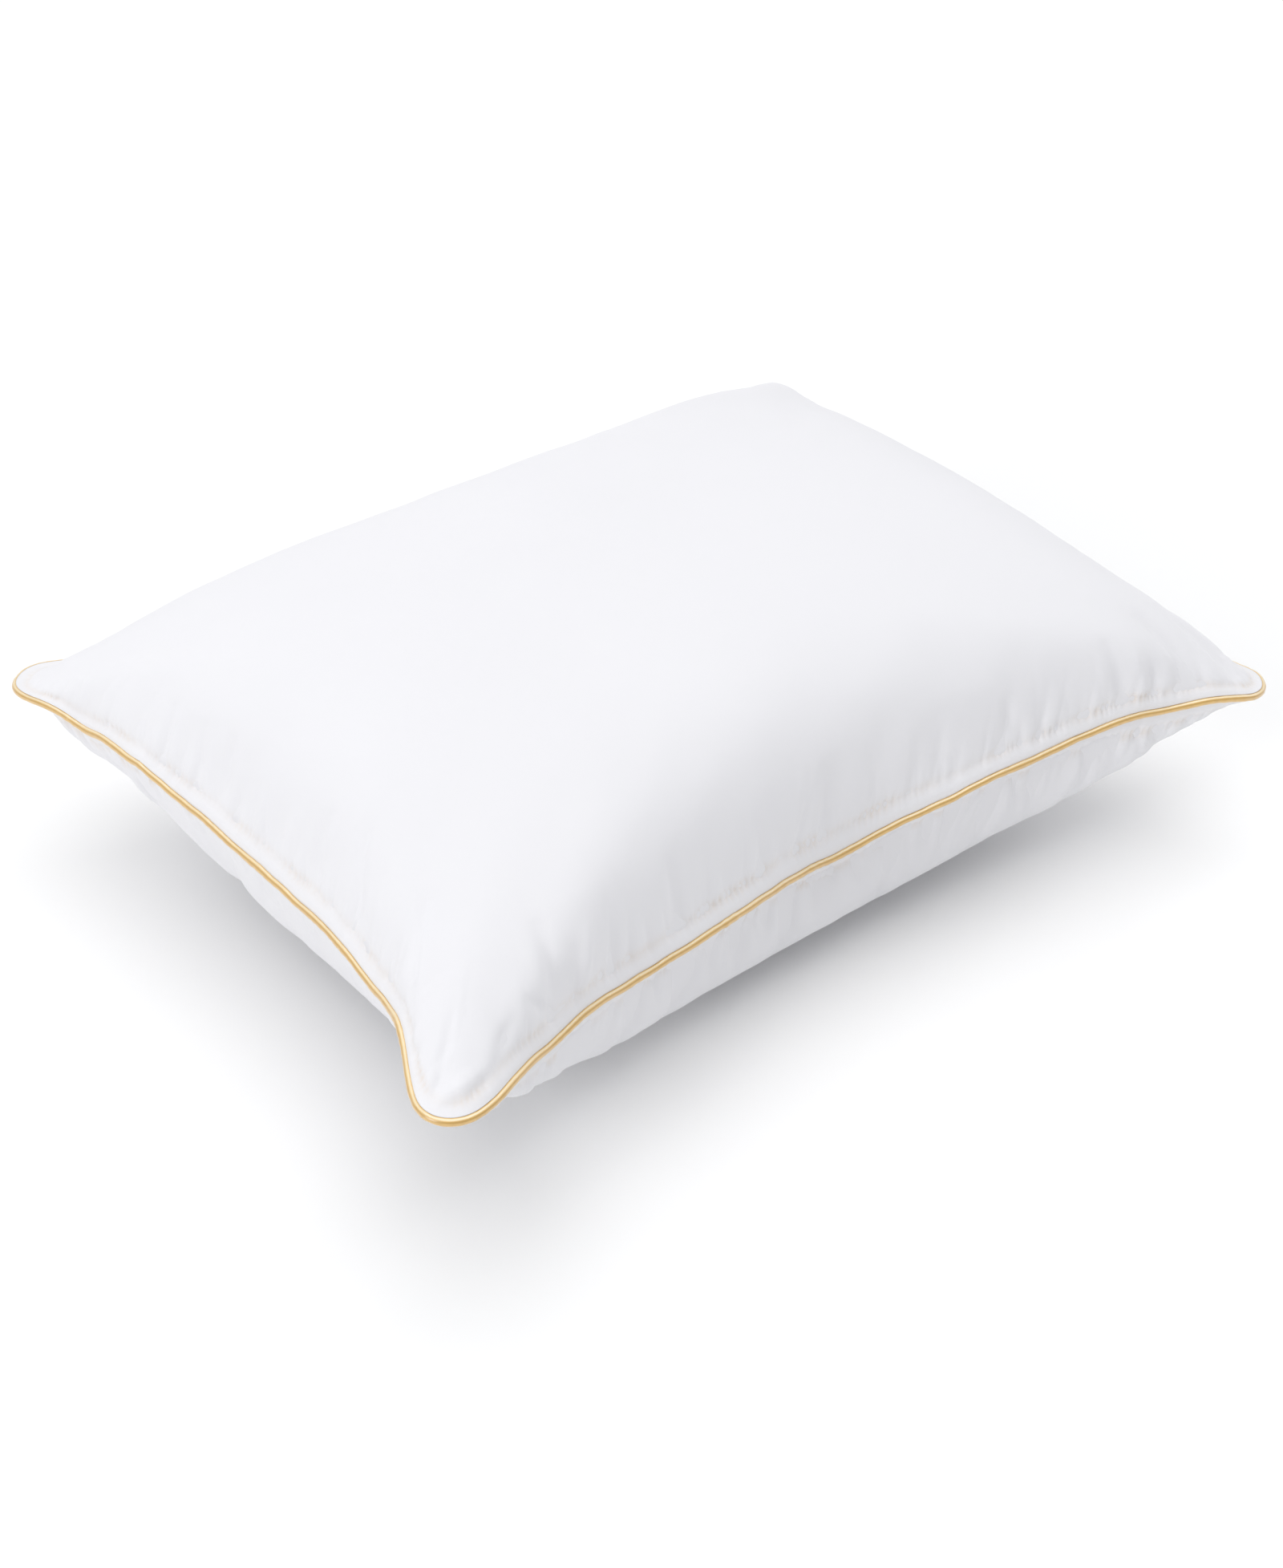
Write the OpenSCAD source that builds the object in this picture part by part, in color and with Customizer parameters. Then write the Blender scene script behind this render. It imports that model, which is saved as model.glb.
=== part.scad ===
// Bed pillow: two cotton panels sewn edge to edge round a gold corded piping, filled with down
// and feather. Millimetres, +Z up, origin at the middle of the footprint on the surface below.
// The long sides run along X. Every piece is drawn in its filled, resting shape.

/* [Casing] */
// Length of the flat casing between its end seams
casing_l = 660; // [420:10:960]
// Width of the flat casing between its side seams
casing_w = 508; // [380:4:760]
// Radius of the sewn corners
corner_r = 26; // [18:1:45]
// Thickness of the down-proof cotton
cotton_t = 0.4; // [0.3:0.05:0.8]
// Width of the seam allowance turned inside
allowance = 12; // [8:0.5:18]

/* [Filled shape] */
// Height of the crown above the surface
crown_h = 220; // [150:2:300]
// Height of the seam above the surface
seam_h = 110; // [70:1:150]
// Distance each end seam draws in at the corners when filled
end_draw = 13; // [4:1:30]
// Distance each side seam draws in at the corners when filled
side_draw = 8; // [4:1:30]
// Further pull-in at the middle of each end seam
end_pull = 32; // [10:1:50]
// Further pull-in at the middle of each side seam
side_pull = 54; // [10:1:80]
// Share of the lower bulge that the surface flattens
flatten = 0.1; // [0.05:0.01:0.25]

/* [Piping] */
// Diameter of the filler cord
cord_d = 4; // [2.5:0.1:6]
// Thickness of the bias strip
strip_t = 0.3; // [0.2:0.05:0.6]
// Distance the flange is trimmed back from the edge of the allowance
flange_trim = 1; // [0.5:0.5:4]

/* [Sewing] */
// Diameter of the sewing thread
thread_d = 0.3; // [0.2:0.05:0.5]
// Distance of the joining stitches from the edge of the casing
seam_inset = 2.4; // [1.5:0.1:5]
// Distance of the piping stitches from the edge of the casing
piping_inset = 1.2; // [0.8:0.1:2]
// Diameter of the overlocked edge
overlock_d = 1.8; // [1.2:0.1:2.6]
// Length of the closed filling gap
gap_l = 200; // [120:10:300]

/* [Care label] */
// Width of the label along the seam
label_w = 30; // [20:1:40]
// Length of the label outside the seam
label_l = 24; // [12:1:28]
// Thickness of the label
label_t = 0.25; // [0.2:0.05:0.3]
// Fall of the label for each millimetre outside the seam
label_droop = 0.08; // [0:0.01:0.2]

/* [Hidden] */

cotton_color = [0.96, 0.96, 0.98];
gold_color = [0.85, 0.70, 0.42];
cord_color = [0.93, 0.91, 0.85];
thread_color = [0.97, 0.97, 0.96];
fill_color = [0.90, 0.89, 0.86];

// Small gap that keeps neighbouring pieces apart
clear = 0.1;
// Gap between the filling and the cotton round it
fill_clear = 1;
// Points along each side seam, each end seam and each sewn corner
side_n = 20;
end_n = 14;
corner_n = 5;
// Facets of each arc of the bias strip round the cord
arc_n = 9;
// Exponents of the crowned cross-sections along X, along Y and at the seam
end_power = 3;
side_power = 4;
seam_power = 16;

half_l = casing_l / 2;
half_w = casing_w / 2;
// The bias strip lies round the cord, with its inner facets clear of it all round,
// and its two edges lie face to face in the flange
pipe_in = cord_d / 2 / cos(180 / arc_n) + clear / 2;
pipe_r = pipe_in + strip_t;
flange_half = strip_t + clear / 2;
flange_w = allowance - flange_trim;
// The panels' allowances lie on the flange, with room for a thread or the label between
panel_gap = flange_half + max(thread_d, label_t) + clear;
// Where the turned-in allowance meets the panel's inner face
turn_in = 1.5 * cotton_t;
pipe_out = pipe_r + label_t + 2 * clear;
// The filling ends where the overlocked allowance begins
fill_ring = 1 - (allowance + overlock_d + 2 * fill_clear) / (half_w - side_draw - side_pull);
crown_rise = crown_h - seam_h - panel_gap;
belly_drop = (seam_h - panel_gap) * (1 + flatten);

inner_steps = [0.2, 0.38, 0.54, 0.68, 0.8, 0.91, 1];
edge_steps = [0.35, 0.62, 0.82, 0.94, 1];
rings = concat([for (s = inner_steps) s * fill_ring],
               [for (s = edge_steps) fill_ring + s * (1 - fill_ring)]);
inner_count = len(inner_steps);
ring_count = len(rings);

// Outline of the flat casing, anticlockwise from the middle of the +X end
function corner_arc(cx, cy, start) =
    [for (k = [0:corner_n])
        let (a = start + 90 * k / corner_n)
        [cx + corner_r * cos(a), cy + corner_r * sin(a)]];
function straight(p, q, n) = [for (k = [1:n - 1]) p + (q - p) * k / n];
cx = half_l - corner_r;
cy = half_w - corner_r;
flat_outline = concat(
    corner_arc(cx, cy, 0), straight([cx, half_w], [-cx, half_w], side_n),
    corner_arc(-cx, cy, 90), straight([-half_l, cy], [-half_l, -cy], end_n),
    corner_arc(-cx, -cy, 180), straight([-cx, -half_w], [cx, -half_w], side_n),
    corner_arc(cx, -cy, 270), straight([half_l, -cy], [half_l, cy], end_n));
point_count = len(flat_outline);
function wrap(i) = (i + point_count) % point_count;

// Plan place of a point of the flat casing once it is filled
function filled(p) =
    let (u = p[0] / half_l, v = p[1] / half_w)
    [u * (half_l - end_draw - end_pull * (1 - v * v)),
     v * (half_w - side_draw - side_pull * (1 - u * u))];
// Share of the full bulge at a ring and outline point
function bulge(s, i) =
    let (p = flat_outline[wrap(i)] * s,
         u = abs(p[0]) / half_l,
         v = abs(p[1]) / half_w)
    sqrt((1 - pow(u, end_power)) * (1 - pow(v, side_power)) * (1 - pow(s, seam_power)));
// Outer surface of the upper (side = 1) or lower (side = -1) panel
function surface_point(s, i, side) =
    let (p = filled(flat_outline[wrap(i)] * s),
         h = bulge(s, i),
         z = side > 0 ? seam_h + panel_gap + crown_rise * h
                      : max(0, seam_h - panel_gap - belly_drop * h))
    [p[0], p[1], z];
function unit(v) = v / norm(v);
// Outward normal, from neighbouring points of the surface
nudge = 0.01;
function surface_normal(s, i, side) =
    let (along = surface_point(s, i + 1, side) - surface_point(s, i - 1, side),
         out = surface_point(min(s + nudge, 1), i, side) - surface_point(s - nudge, i, side))
    unit(cross(out, along) * side);
function inset_point(s, i, side, depth) =
    surface_point(s, i, side) - surface_normal(s, i, side) * depth;
function inset_ring(s, side, depth) =
    [for (i = [0:point_count - 1]) inset_point(s, i, side, depth)];

// Ring that follows the edge of the filled casing at a plan distance and a height
edge = [for (p = flat_outline) filled(p)];
function edge_normal(i) =
    let (t = unit(edge[wrap(i + 1)] - edge[wrap(i - 1)])) [t[1], -t[0]];
function edge_point(i, out, z) =
    let (p = edge[wrap(i)] + edge_normal(i) * out) [p[0], p[1], z];
function edge_ring(out, z) = [for (i = [0:point_count - 1]) edge_point(i, out, z)];

// Closed solid from a pole point, rings of equal length, and an end pole point
module lathe_solid(first, ring_list, last) {
    n = point_count;
    m = len(ring_list);
    points = concat([first], [for (r = ring_list) each r], [last]);
    end = len(points) - 1;
    faces = concat(
        [for (i = [0:n - 1]) [0, 1 + (i + 1) % n, 1 + i]],
        [for (j = [0:m - 2]) for (i = [0:n - 1])
            let (a = 1 + j * n + i, b = 1 + j * n + (i + 1) % n)
            each [[a, b, b + n], [a, b + n, a + n]]],
        [for (i = [0:n - 1]) [end, 1 + (m - 1) * n + i, 1 + (m - 1) * n + (i + 1) % n]]);
    polyhedron(points = points, faces = faces);
}

// Closed ring swept round the edge of the casing from a section of [out, up] points
module edge_sweep(section) {
    n = point_count;
    m = len(section);
    points = [for (i = [0:n - 1]) for (q = section) edge_point(i, q[0], seam_h + q[1])];
    faces = [for (i = [0:n - 1]) for (k = [0:m - 1])
        let (a = i * m, b = ((i + 1) % n) * m, k2 = (k + 1) % m)
        each [[a + k, b + k, b + k2], [a + k, b + k2, a + k2]]];
    polyhedron(points = points, faces = faces);
}

function circle_section(out, up, r, sides) =
    [for (k = [0:sides - 1]) let (a = -360 * k / sides) [out + r * cos(a), up + r * sin(a)]];

// Tube along a list of points, with flat ends
module tube(path, r, sides) {
    n = len(path);
    function dir(i) = unit(path[min(i + 1, n - 1)] - path[max(i - 1, 0)]);
    function side_of(i) = unit(cross(dir(i), [0, 0, 1]));
    points = [for (i = [0:n - 1]) for (k = [0:sides - 1])
        let (a = 360 * k / sides)
        path[i] + r * (cos(a) * side_of(i) + sin(a) * cross(side_of(i), dir(i)))];
    faces = concat(
        [[for (k = [0:sides - 1]) sides - 1 - k]],
        [for (i = [0:n - 2]) for (k = [0:sides - 1])
            let (a = i * sides + k, b = i * sides + (k + 1) % sides)
            each [[a, b, b + sides], [a, b + sides, a + sides]]],
        [[for (k = [0:sides - 1]) (n - 1) * sides + k]]);
    polyhedron(points = points, faces = faces);
}

// One cotton panel: its bulging face, and its allowance turned in flat on the flange
module panel(side) {
    outer = [for (s = rings) [for (i = [0:point_count - 1]) surface_point(s, i, side)]];
    inner = [for (j = [ring_count - 2:-1:0]) inset_ring(rings[j], side, cotton_t)];
    face_z = seam_h + side * panel_gap;
    back_z = seam_h + side * (panel_gap + cotton_t);
    turn = [edge_ring(-allowance, face_z), edge_ring(-allowance, back_z),
            edge_ring(-turn_in, back_z)];
    pole = [0, 0, surface_point(0, 0, side)[2]];
    first = side > 0 ? pole : pole + [0, 0, cotton_t];
    last = side > 0 ? pole - [0, 0, cotton_t] : pole;
    up = concat(outer, turn, inner);
    lathe_solid(first, side > 0 ? up : [for (j = [len(up) - 1:-1:0]) up[j]], last);
}

module top_panel() {
    color(cotton_color) panel(1);
}

module bottom_panel() {
    color(cotton_color) panel(-1);
}

// Bias strip: once round the cord, with both edges face to face as a flange
module piping_cover() {
    outer_slit = asin(flange_half / pipe_r);
    inner_slit = asin(clear / 2 / pipe_in);
    function arc(r, from, to) =
        [for (k = [0:arc_n]) let (a = from + (to - from) * k / arc_n)
            [pipe_out + r * cos(a), r * sin(a)]];
    section = concat(
        [[-flange_w, flange_half]],
        arc(pipe_r, 180 - outer_slit, outer_slit - 180),
        [[-flange_w, -flange_half], [-flange_w, -clear / 2]],
        arc(pipe_in, inner_slit - 180, 180 - inner_slit),
        [[-flange_w, clear / 2]]);
    color(gold_color) edge_sweep(section);
}

module piping_cord() {
    color(cord_color) edge_sweep(circle_section(pipe_out, 0, cord_d / 2, 8));
}

// Stitch row that closes the strip on its cord, lying on top of the flange
module piping_stitching() {
    row_z = flange_half + clear / 2 + thread_d / 2;
    color(gold_color) edge_sweep(circle_section(-piping_inset, row_z, thread_d / 2, 4));
}

// Joining row: needle thread on the upper allowance, bobbin thread under the lower one
module seam_stitching() {
    row_z = panel_gap + cotton_t + clear + thread_d / 2;
    color(thread_color) for (side = [-1, 1])
        edge_sweep(circle_section(-seam_inset - cotton_t, side * row_z, thread_d / 2, 4));
}

// Overlock thread bound round the raw edges of the allowance
module overlock_stitching() {
    out = -allowance - clear - overlock_d / 2;
    color(thread_color) edge_sweep(circle_section(out, 0, overlock_d / 2, 6));
}

// Edge stitching over the filling gap in the +X end seam, lying on the upper panel
module closing_stitching() {
    row_ring = rings[ring_count - 2];
    row = [for (i = [-end_n:end_n])
        let (p = surface_point(row_ring, i, 1),
             q = p + surface_normal(row_ring, i, 1) * (thread_d / 2 + clear))
        if (abs(p[1]) <= gap_l / 2 && p[0] > 0) q];
    color(thread_color) tube(row, thread_d / 2, 6);
}

// Down and feather filling, one soft body that reaches the allowance all round
module fill() {
    depth = cotton_t + fill_clear;
    upper = [for (j = [0:inner_count - 1]) inset_ring(rings[j], 1, depth)];
    lower = [for (j = [inner_count - 1:-1:0]) inset_ring(rings[j], -1, depth)];
    first = [0, 0, crown_h - depth];
    last = [0, 0, depth];
    color(fill_color) lathe_solid(first, concat(upper, lower), last);
}

// Blank woven label caught under the flange at the middle of the +X end seam
module care_label() {
    seam_x = half_l - end_draw - end_pull;
    // The label leaves the seam between panel and piping, passes under the piping and droops
    shelf = flange_half + clear / 2;
    slot = [clear / 2, clear / 2 + label_t];
    under = pipe_r + clear + label_t;
    tip = under + label_l * label_droop;
    profile = [[-flange_w, -shelf], [slot[1], -shelf],
               [slot[1], -under / 2], [pipe_out / 2, -under + label_t],
               [pipe_out, -under], [label_l, -tip],
               [label_l, -tip - label_t], [pipe_out, -under - label_t],
               [pipe_out / 3, -under], [slot[0], -under / 2],
               [slot[0], -shelf - label_t], [-flange_w, -shelf - label_t]];
    color(thread_color)
        translate([seam_x, label_w / 2, seam_h])
            rotate([90, 0, 0])
                linear_extrude(height = label_w)
                    polygon(profile);
}

top_panel();
bottom_panel();
piping_cover();
piping_cord();
piping_stitching();
seam_stitching();
overlock_stitching();
closing_stitching();
fill();
care_label();
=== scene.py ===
"""A bed pillow: two cotton panels blown up by cloth simulation round a gold corded piping.

The cut of the casing is flat. Every point of it keeps its flat place (u, v), in metres from the
middle, and all that is sewn to it (piping, stitches, label, filling) is placed from there.
"""
import math

import bpy
import numpy as np
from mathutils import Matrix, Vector
from mathutils.geometry import delaunay_2d_cdt
from mathutils.kdtree import KDTree


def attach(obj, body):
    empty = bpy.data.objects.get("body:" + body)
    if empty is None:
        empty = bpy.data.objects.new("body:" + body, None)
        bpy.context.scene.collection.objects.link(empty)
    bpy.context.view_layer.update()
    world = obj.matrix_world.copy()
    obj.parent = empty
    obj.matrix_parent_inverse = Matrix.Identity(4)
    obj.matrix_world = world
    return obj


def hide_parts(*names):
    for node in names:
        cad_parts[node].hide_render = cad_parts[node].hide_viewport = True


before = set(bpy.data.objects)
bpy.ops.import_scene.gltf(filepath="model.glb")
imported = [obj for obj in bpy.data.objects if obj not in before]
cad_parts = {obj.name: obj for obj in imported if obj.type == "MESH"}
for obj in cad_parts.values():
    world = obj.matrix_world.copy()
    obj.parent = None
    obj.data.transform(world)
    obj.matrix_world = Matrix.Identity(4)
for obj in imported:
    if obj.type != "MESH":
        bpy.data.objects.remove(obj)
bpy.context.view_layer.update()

# Sizes, in metres
CASING_L = 0.660
CASING_W = 0.508
CORNER_R = 0.026
COTTON_T = 0.0004
ALLOWANCE = 0.012
PANEL_GAP = 0.0007
CORD_R = 0.0020
STRIP_T = 0.0003
PIPE_R = CORD_R + STRIP_T
# How far outside the sewn edge the cord's middle lies
PIPE_OUT = 0.0025
# Where the piping's ends meet along the sewn edge, and how far they overlap
JOIN_S = 1.845
JOIN_L = 0.012
THREAD_R = 0.00018
LABEL_W = 0.030
LABEL_T = 0.00025
HALF_L = CASING_L / 2
HALF_W = CASING_W / 2
# Cloth simulation
SIM_STEP = 0.008
SIM_FRAMES = 22
SIM_PRESSURE = 5.0
SIM_STIFFNESS = 15
SIM_START_Z = 0.09
# No pressure nearer to a corner than the first, all of it beyond both together
SLACK_TIP = 0.03
SLACK_SPAN = 0.14
# Cloth grid: points along the sewn edge, rings beside it, a fine band, a plainer middle
RIM_STEP = 0.0011
RINGS = (0.00025, 0.0008, 0.0016, 0.0026, 0.0038, 0.0052, 0.0068, 0.0086, 0.0106, 0.0130, 0.0158)
BAND_STEP = 0.0022
BAND_WIDTH = 0.058
MIDDLE_STEP = 0.0055
INNER_STEP = 0.008
# The camera: degrees, metres, and the lens in millimetres
VIEW_AZIMUTH = -37.8
VIEW_ELEVATION = 38.1
VIEW_TARGET = (-0.051, -0.063, 0.100)
VIEW_DISTANCE = 1.300
LENS = 50.0
FLOOR_HALF = 40.0
# Seeds of the random draws, by side where the upper (1) and the lower (-1) differ
WAVER_SEED = 5
GATHER_SEED = 21
DENT_SEEDS = {1: 11, -1: 12}
CLUMP_SEEDS = {1: 32, -1: 30}
RIPPLE_SEEDS = {1: 41, -1: 42}

# How this pillow lies after the even inflation, in metres. Each corner of the casing is moved
# by (x, y, z), its tip by (outward, up) more, and the body behind it is raised or lowered.
CORNER_MOVES = {
    (-1, -1): (0.0065, 0.0025, 0.0090),
    (1, -1): (0.0030, 0.0070, 0.0020),
    (-1, 1): (0.0100, 0.0065, 0.0085),
    (1, 1): (0.0, 0.0, 0.0060),
}
TIP_MOVES = {
    (-1, -1): (0.0022, 0.0),
    (1, -1): (0.0024, -0.0085),
    (-1, 1): (0.0045, 0.0044),
    (1, 1): (0.0, 0.0),
}
CORNER_FILL = {(-1, -1): 0.0005, (1, -1): -0.0028, (-1, 1): -0.0320, (1, 1): 0.0130}
# The middle of each side: outward, outward towards +along, up, up towards +along, bow
SIDE_MOVES = {
    (0, -1): (-0.0060, 0.0, -0.0070, 0.0076, 0.0325),
    (-1, 0): (-0.0056, 0.0190, 0.0115, 0.0071, 0.0164),
    (0, 1): (0.0, 0.0, -0.0020, 0.0, 0.0),
    (1, 0): (0.0, 0.0, -0.0037, 0.0, 0.0),
}
# The filling lies a little towards +X and +Y
FILL_LEAN = (0.0020, 0.0010)
# Share of the height kept by the crown and the belly: below 1 the edge fills up sooner
CROWN_POWER = 0.744
BELLY_POWER = 0.704
SCALE = (1.006, 0.994, 0.992)
# How much of the simulated wrinkling stays in the soft, washed cotton
WRINKLE_SHARE = 0.22

# Folds of this pillow on the flat cut, in metres: from (u, v) to (u, v), half width, height.
# A height below zero is a groove.
UPPER_FOLDS = (
    ((-0.230, -0.205), (-0.238, -0.250), 0.0060, -0.0013),
    ((-0.204, -0.222), (-0.216, -0.250), 0.0050, 0.0011),
    ((-0.137, -0.215), (-0.133, -0.250), 0.0050, -0.0009),
    ((-0.255, -0.232), (-0.240, -0.247), 0.0028, -0.0007),
    ((-0.296, -0.212), (-0.322, -0.236), 0.0030, -0.0009),
    ((-0.322, -0.240), (-0.298, -0.243), 0.0035, 0.0010),
    ((-0.306, -0.247), (-0.284, -0.246), 0.0030, -0.0006),
    ((-0.268, -0.236), (-0.284, -0.243), 0.0045, -0.0009),
    ((0.248, -0.200), (0.266, -0.250), 0.0080, -0.0016),
    ((0.206, -0.212), (0.216, -0.250), 0.0060, -0.0012),
    ((0.224, -0.224), (0.232, -0.250), 0.0050, 0.0009),
    ((0.129, -0.222), (0.137, -0.248), 0.0050, -0.0009),
    ((0.278, -0.196), (0.300, -0.238), 0.0070, -0.0013),
    ((-0.292, 0.096), (-0.326, 0.094), 0.0040, -0.0007),
    ((-0.290, 0.064), (-0.326, 0.062), 0.0045, -0.0009),
    ((-0.284, 0.038), (-0.325, 0.034), 0.0040, -0.0008),
    ((-0.282, -0.056), (-0.327, -0.058), 0.0045, -0.0009),
    ((-0.268, -0.086), (-0.322, -0.106), 0.0050, -0.0010),
    ((-0.276, -0.150), (-0.318, -0.182), 0.0050, -0.0009),
)
LOWER_FOLDS = (
    ((-0.222, -0.251), (-0.218, -0.205), 0.0070, -0.0012),
    ((-0.168, -0.251), (-0.174, -0.200), 0.0060, -0.0013),
    ((-0.128, -0.251), (-0.130, -0.196), 0.0070, -0.0016),
    ((-0.082, -0.251), (-0.080, -0.210), 0.0055, -0.0009),
    ((-0.031, -0.251), (-0.040, -0.196), 0.0070, -0.0015),
    ((0.049, -0.251), (0.046, -0.190), 0.0070, -0.0015),
    ((0.094, -0.251), (0.088, -0.208), 0.0055, -0.0010),
    ((0.130, -0.251), (0.119, -0.196), 0.0065, -0.0015),
    ((0.160, -0.251), (0.161, -0.205), 0.0060, -0.0012),
    ((0.202, -0.251), (0.192, -0.205), 0.0070, -0.0016),
    ((-0.326, -0.007), (-0.290, 0.020), 0.0060, -0.0012),
    ((-0.327, 0.051), (-0.296, 0.058), 0.0060, -0.0010),
    ((-0.325, 0.120), (-0.300, 0.128), 0.0060, -0.0010),
    ((-0.325, -0.100), (-0.292, -0.110), 0.0060, -0.0010),
)
FOLD_HEIGHT = 2.0
# Where the seam lies lower or higher than the even shape: middle (u, v), spread, up
SEAM_DIPS = (
    ((-0.242, -0.254), 0.020, -0.0038),
    ((-0.094, -0.254), 0.026, 0.0024),
    ((0.003, -0.254), 0.042, -0.0070),
    ((0.115, -0.254), 0.026, 0.0026),
    ((0.245, -0.254), 0.022, -0.0026),
    ((-0.330, 0.168), 0.020, -0.0045),
    ((-0.330, -0.135), 0.018, -0.0035),
    ((-0.330, -0.182), 0.015, 0.0025),
)
# How flat each corner lies, as an empty ear of two panels: 1 is quite flat
EARS = {(-1, -1): 0.40, (1, -1): 0.68, (-1, 1): 0.40, (1, 1): 0.12}
EAR_REACH = 0.046
# Dents square to the seam, as ranges in metres: gap, width, reach and strength, and then the
# depth at which they start. The lower panel carries the folds of the weight on it.
FINE_DENTS = (0.011, 0.022), (0.0024, 0.0056), (0.008, 0.028), (0.0006, 0.0021), 0.004
SHARP_DENTS = (0.008, 0.019), (0.0014, 0.0028), (0.012, 0.044), (0.0003, 0.0011), 0.004
SHARP_SHARE = {1: 1.0, -1: 1.6}
BROAD_DENTS = {
    1: ((0.028, 0.052), (0.006, 0.011), (0.028, 0.060), (0.0006, 0.0016), 0.008),
    -1: ((0.020, 0.036), (0.0038, 0.0080), (0.030, 0.060), (0.0018, 0.0040), 0.008),
}
# Ridge of cloth on the piping's shoulder and the groove behind it: depth, half width, height
RIDGE = (0.0017, 0.0012, 0.0008)
GROOVE = (0.0050, 0.0022, 0.0006)
RIPPLE_HEIGHT = 0.0011
RIPPLE_PITCH = 0.0045
# Lamps with soft edges: toward (right of the view, into it, up), strength, width in degrees
LAMPS = (
    ("side_low", (-0.76, -0.65, 0.3), 0.60, 16),
    ("side", (-0.75, -0.6, 0.7), 0.30, 20),
    ("overhead", (0.0, 0.0, 1.0), 1.22, 60),
    ("rim", (0.8, 0.42, 0.5), 0.25, 22),
    ("back", (0.0, 1.0, 1.0), 0.48, 60),
)
SKY_COLOR = (0.97, 0.98, 1.0)
SKY_STRENGTH = 0.50


# ---------------------------------------------------------------- the flat cut
def edge_distance(flat, inset=0.0):
    """Distance inside the sewn edge of a casing made smaller by inset all round."""
    radius = CORNER_R - inset
    qx = np.abs(flat[:, 0]) - (HALF_L - CORNER_R)
    qy = np.abs(flat[:, 1]) - (HALF_W - CORNER_R)
    outside = np.hypot(np.maximum(qx, 0), np.maximum(qy, 0))
    return radius - outside - np.minimum(np.maximum(qx, qy), 0)


def edge_loop(step, inset=0.0):
    """Points of the sewn edge, anticlockwise from the lower end of the +X side."""
    radius = CORNER_R - inset
    a, b = HALF_L - CORNER_R, HALF_W - CORNER_R
    points = []
    for (cx, cy), start, side in (
        ((a, b), 0, 2 * b),
        ((-a, b), 90, 2 * a),
        ((-a, -b), 180, 2 * b),
        ((a, -b), 270, 2 * a),
    ):
        t = math.radians(start)
        out = np.array([math.cos(t), math.sin(t)])
        along = np.array([-out[1], out[0]])
        corner = np.array([cx, cy])
        count = max(1, round(side / step))
        for k in range(count):
            points.append(corner + out * radius - along * side * (1 - k / count))
        count = max(4, round(radius * math.pi / 2 / step))
        for k in range(count):
            turn = t + math.pi / 2 * k / count
            points.append(corner + radius * np.array([math.cos(turn), math.sin(turn)]))
    return np.array(points)


def flat_grid(step, inset, nearest, farthest=1.0):
    """Hexagonal grid of flat points whose distance inside the edge is between two limits."""
    rows = []
    row_gap = step * math.sqrt(3) / 2
    for r, y in enumerate(np.arange(-HALF_W + step * 0.7, HALF_W, row_gap)):
        x = np.arange(-HALF_L + (step / 2 if r % 2 else 0), HALF_L, step)
        rows.append(np.stack([x, np.full(len(x), y)], 1))
    grid = np.concatenate(rows)
    depth = edge_distance(grid, inset)
    return grid[(depth > nearest) & (depth < farthest)]


def joined(edge, *inside):
    """Edge points first, then the points inside them, joined by triangles."""
    points = np.concatenate([edge, *inside])
    n = len(edge)
    ring = [(i, (i + 1) % n) for i in range(n)]
    made = delaunay_2d_cdt([Vector(p) for p in points], ring, [], 1, 1e-7)
    return points, np.array([list(f) for f in made[2]]), n


def flat_mesh(step, inset=0.0, rim_step=None):
    """The cut with one even grid."""
    edge = edge_loop(rim_step or step, inset)
    return joined(edge, flat_grid(step, inset, step * 0.55))


def fine_mesh():
    """The cut with rings beside the sewn edge and a fine band inside them."""
    rings = [edge_loop(RIM_STEP, inset) for inset in RINGS]
    band = flat_grid(BAND_STEP, 0.0, RINGS[-1] + BAND_STEP * 0.6, BAND_WIDTH)
    middle = flat_grid(MIDDLE_STEP, 0.0, BAND_WIDTH + MIDDLE_STEP * 0.4)
    return joined(edge_loop(RIM_STEP), *rings, band, middle)


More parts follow.
